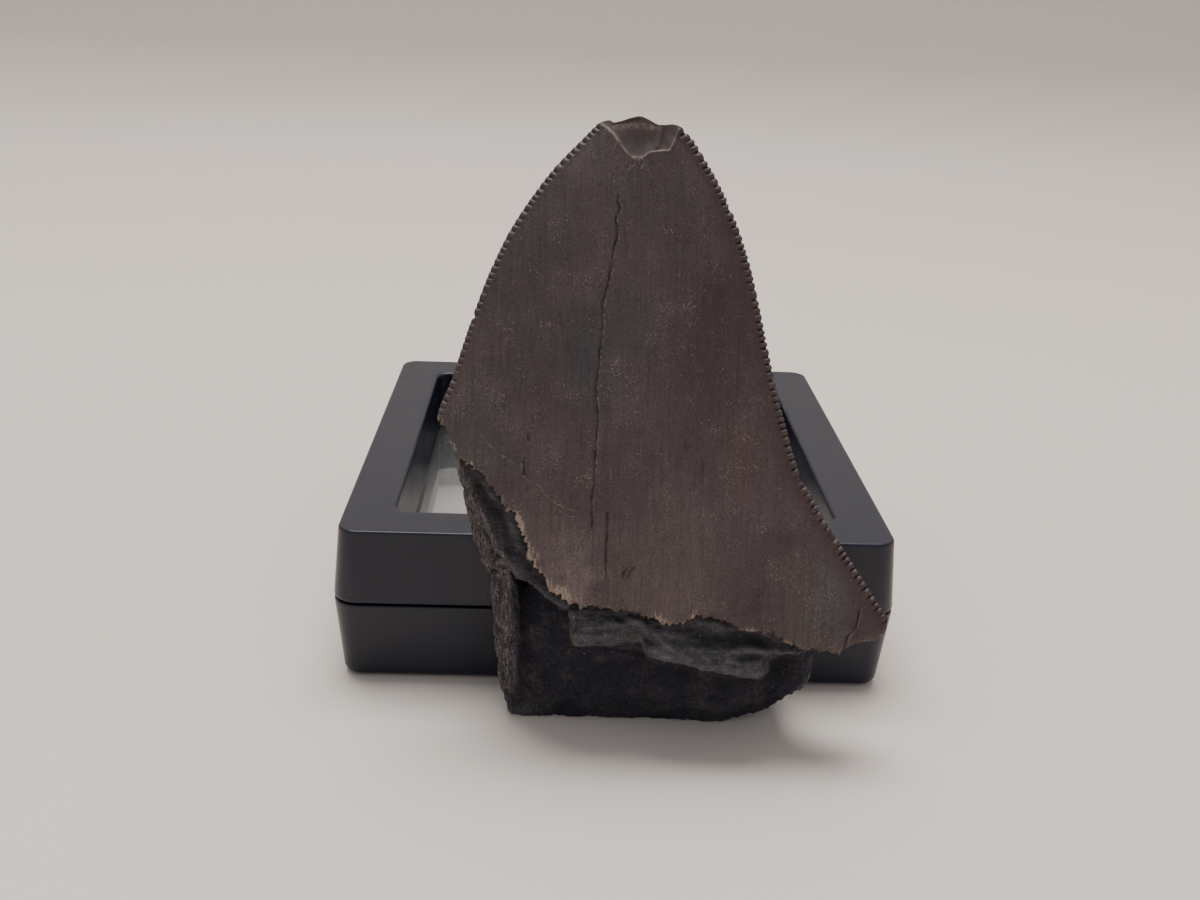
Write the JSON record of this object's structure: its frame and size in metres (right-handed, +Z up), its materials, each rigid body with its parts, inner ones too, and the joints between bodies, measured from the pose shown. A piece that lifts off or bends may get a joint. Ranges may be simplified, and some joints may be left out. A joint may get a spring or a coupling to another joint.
{
  "type": "megalodon tooth fossil",
  "caption": "Broken fossil shark tooth with serrated edges, standing on its root and leaning back on a square film-window display case.",
  "frame": {"origin": "on the table, under the middle of the whole object's bounding box", "axes": "+Z up, the tooth's outer face towards -Y, the display case behind it towards +Y, +X to the right seen from the front"},
  "size_m": [0.07, 0.0852, 0.0692],
  "materials": {
    "case_base": "fine satin moulded black",
    "case_lid": "fine satin moulded black",
    "film_lower": "clear stretched film, slightly streaked",
    "film_upper": "clear stretched film, slightly streaked",
    "tooth": "fossil enamel, satin dark brown, over matt near-black root"
  },
  "bodies": {
    "root": {"case_base": "case_base", "case_lid": "case_lid", "film_lower": "film_lower", "film_upper": "film_upper", "tooth": "tooth"}
  },
  "joints": []
}
